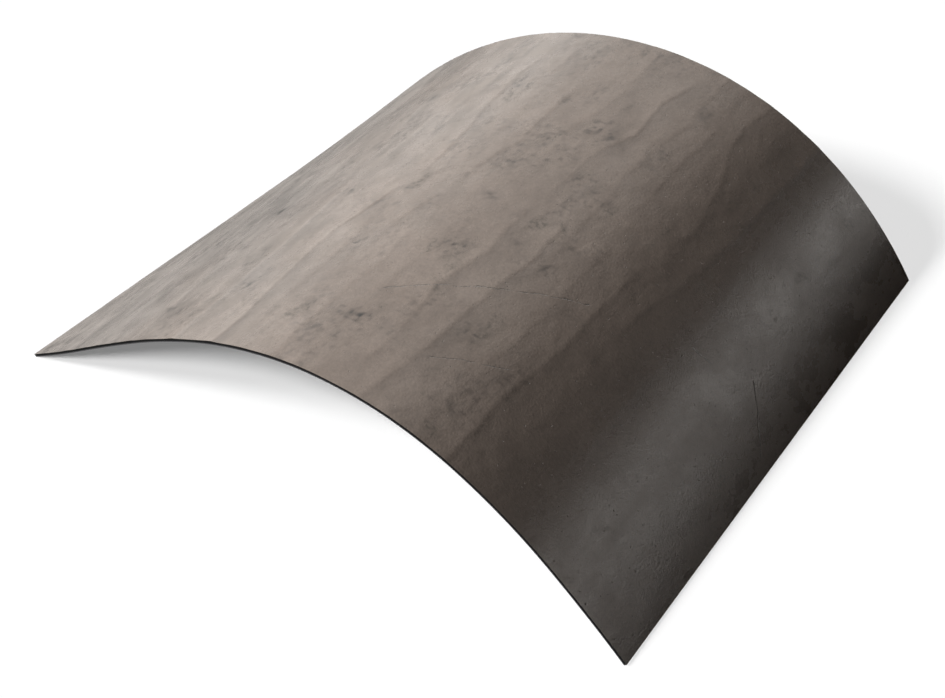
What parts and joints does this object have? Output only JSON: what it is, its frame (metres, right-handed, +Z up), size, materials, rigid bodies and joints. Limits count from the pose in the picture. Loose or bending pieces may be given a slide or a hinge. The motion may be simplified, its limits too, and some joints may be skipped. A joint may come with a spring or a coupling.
{
  "type": "flexible solar sheet",
  "caption": "Thin flexible solar laminate with a stone-look front film, bent into a low arch, with a junction box on its underside.",
  "frame": {"origin": "on the floor, under the middle of the sheet's bounding box", "axes": "+X across the arch towards the lower right straight edge, +Y along the sheet's straight lines from front to rear, +Z up"},
  "size_m": [0.5306, 0.412, 0.1393],
  "materials": {
    "textured_film": "satin, printed and embossed like cleft stone",
    "black_encapsulant": "satin",
    "solar_cell": "gloss",
    "back_sheet": "fine matte",
    "tinned_ribbon": "dull tin",
    "adhesive": "matte",
    "box_plastic": "moulded, lightly textured",
    "gasket_rubber": "matte",
    "screw_steel": "plated",
    "terminal_brass": "machined",
    "diode_body": "moulded"
  },
  "bodies": {
    "strip_1": {"front_film_1": "textured_film", "front_encapsulant_1": "black_encapsulant", "cells_1": "solar_cell", "rear_encapsulant_1": "black_encapsulant", "back_sheet_1": "back_sheet", "link_ribbons_1": "tinned_ribbon", "jumper_bus": "tinned_ribbon"},
    "strip_2": {"front_film_2": "textured_film", "front_encapsulant_2": "black_encapsulant", "cells_2": "solar_cell", "rear_encapsulant_2": "black_encapsulant", "back_sheet_2": "back_sheet", "link_ribbons_2": "tinned_ribbon"},
    "strip_3": {"front_film_3": "textured_film", "front_encapsulant_3": "black_encapsulant", "cells_3": "solar_cell", "rear_encapsulant_3": "black_encapsulant", "back_sheet_3": "back_sheet", "link_ribbons_3": "tinned_ribbon"},
    "strip_4": {"front_film_4": "textured_film", "front_encapsulant_4": "black_encapsulant", "cells_4": "solar_cell", "rear_encapsulant_4": "black_encapsulant", "back_sheet_4": "back_sheet", "link_ribbons_4": "tinned_ribbon"},
    "strip_5": {"front_film_5": "textured_film", "front_encapsulant_5": "black_encapsulant", "cells_5": "solar_cell", "rear_encapsulant_5": "black_encapsulant", "back_sheet_5": "back_sheet"},
    "strip_6": {"front_film_6": "textured_film", "front_encapsulant_6": "black_encapsulant", "cells_6": "solar_cell", "rear_encapsulant_6": "black_encapsulant", "back_sheet_6": "back_sheet", "link_ribbons_5": "tinned_ribbon"},
    "strip_7": {"front_film_7": "textured_film", "front_encapsulant_7": "black_encapsulant", "cells_7": "solar_cell", "rear_encapsulant_7": "black_encapsulant", "back_sheet_7": "back_sheet", "link_ribbons_6": "tinned_ribbon", "lead_ribbons": "tinned_ribbon", "box_adhesive_pad": "adhesive", "junction_box_base": "box_plastic", "lead_inlets": "box_plastic", "junction_box_gasket": "gasket_rubber", "junction_box_lid": "box_plastic", "lid_screws": "screw_steel", "terminals": "terminal_brass", "bypass_diode": "diode_body"},
    "strip_8": {"front_film_8": "textured_film", "front_encapsulant_8": "black_encapsulant", "cells_8": "solar_cell", "rear_encapsulant_8": "black_encapsulant", "back_sheet_8": "back_sheet", "link_ribbons_7": "tinned_ribbon", "front_row_bus": "tinned_ribbon", "rear_row_bus": "tinned_ribbon"}
  },
  "joints": [
    {"name": "bend_1", "type": "hinge", "parent": "strip_2", "child": "strip_1", "pos_m": [-0.20045, 0, 0.04471], "axis": [0.0075, -0.9993, -0.0369], "range_deg": [-3.7, 24.9], "stiffness_Nm_per_rad": 15, "deforming": ["link_ribbons_1"]},
    {"name": "bend_2", "type": "hinge", "parent": "strip_3", "child": "strip_2", "pos_m": [-0.1365, 0, 0.08363], "axis": [0.0171, -0.9985, -0.0523], "range_deg": [-7.4, 21.3], "stiffness_Nm_per_rad": 15, "deforming": ["link_ribbons_2"]},
    {"name": "bend_3", "type": "hinge", "parent": "strip_4", "child": "strip_3", "pos_m": [-0.06803, 0, 0.11403], "axis": [0.0166, -0.9986, -0.0507], "range_deg": [-11, 17.6], "stiffness_Nm_per_rad": 15, "deforming": ["link_ribbons_3"]},
    {"name": "bend_4", "type": "hinge", "parent": "strip_5", "child": "strip_4", "pos_m": [0.00487, 0, 0.13079], "axis": [0.0139, -0.9992, -0.0383], "range_deg": [-14.6, 14], "stiffness_Nm_per_rad": 15, "deforming": ["link_ribbons_4"]},
    {"name": "bend_5", "type": "hinge", "parent": "strip_5", "child": "strip_6", "pos_m": [0.07953, 0, 0.1286], "axis": [-0.0142, 0.9996, 0.0249], "range_deg": [-17.8, 10.9], "stiffness_Nm_per_rad": 15, "deforming": ["link_ribbons_5"]},
    {"name": "bend_6", "type": "hinge", "parent": "strip_6", "child": "strip_7", "pos_m": [0.14991, 0, 0.10377], "axis": [-0.0163, 0.9997, 0.018], "range_deg": [-17.6, 11], "stiffness_Nm_per_rad": 15, "deforming": ["link_ribbons_6"]},
    {"name": "bend_7", "type": "hinge", "parent": "strip_7", "child": "strip_8", "pos_m": [0.20956, 0, 0.05873], "axis": [-0.0203, 0.9997, 0.013], "range_deg": [-13, 15.6], "stiffness_Nm_per_rad": 15, "deforming": ["link_ribbons_7"]}
  ]
}
